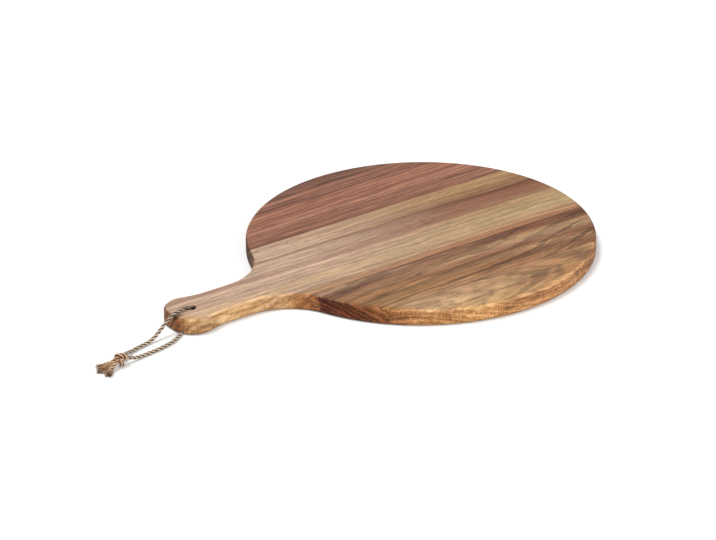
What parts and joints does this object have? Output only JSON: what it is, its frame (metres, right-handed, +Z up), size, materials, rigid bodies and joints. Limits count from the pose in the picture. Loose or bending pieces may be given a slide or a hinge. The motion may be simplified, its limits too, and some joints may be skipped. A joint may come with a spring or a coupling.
{
  "type": "serving board",
  "caption": "Round wooden serving board with a short waisted handle, built of glued staves, with a cord loop through a hole in the handle for hanging it up",
  "frame": {"origin": "on the surface that the board lies on, under the middle of the board's length and width", "axes": "+X from the handle to the far rim, +Y to the rear stave, +Z up from the underside to the serving face"},
  "size_m": [0.5087, 0.305, 0.0189],
  "materials": {
    "dark_wood": "oiled",
    "tan_wood": "oiled",
    "streaked_wood": "oiled",
    "golden_wood": "oiled",
    "cord": "twisted fibre"
  },
  "bodies": {
    "root": {"rear_stave": "dark_wood", "handle_stave": "tan_wood", "middle_stave": "streaked_wood", "front_stave": "golden_wood", "cord_upper_run": "cord", "cord_lower_run": "cord", "cord_knot": "cord", "cord_tails": "cord"}
  },
  "joints": []
}
